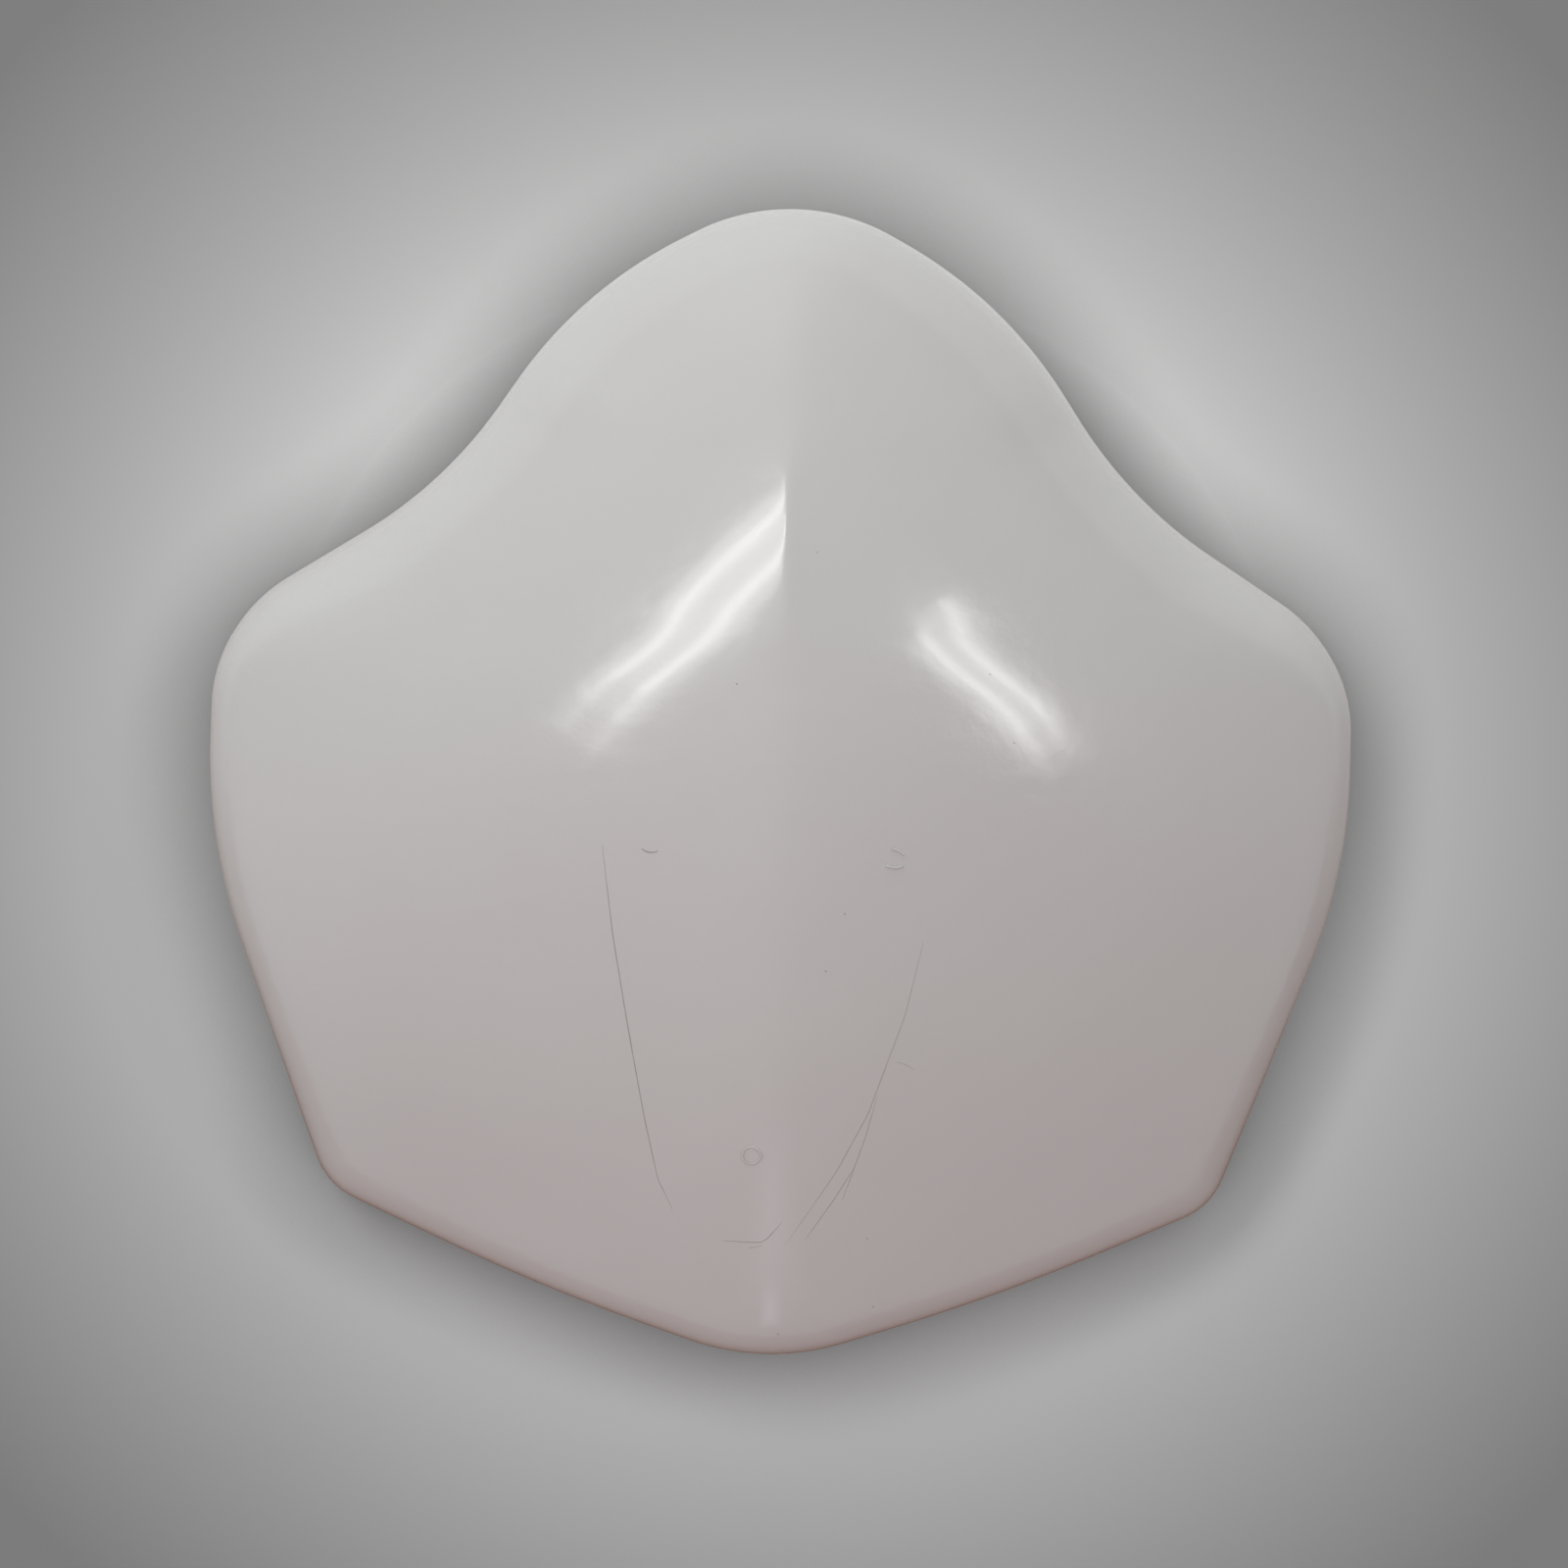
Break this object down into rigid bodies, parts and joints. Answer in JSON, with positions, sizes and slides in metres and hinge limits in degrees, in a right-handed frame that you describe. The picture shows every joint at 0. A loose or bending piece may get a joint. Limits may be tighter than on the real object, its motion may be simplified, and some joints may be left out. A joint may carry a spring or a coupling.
{
  "type": "motorcycle headlight fairing",
  "caption": "Glossy white one-piece fairing shell for a motorcycle's front: a ridged, domed face with rounded shoulders rolled over into a plain side wall, open at the back.",
  "frame": {"origin": "middle of the trimmed rim's plane: the centre of the overall box, at its bottom", "axes": "+Z out through the face, +Y from the tip to the crown, +X to the right as seen from the front; it lies face up on its rim"},
  "size_m": [0.36, 0.361, 0.1121],
  "materials": {
    "gel_coat": "glossy white gel coat over glass-fibre laminate"
  },
  "bodies": {
    "root": {"fairing_shell": "gel_coat"}
  },
  "joints": []
}
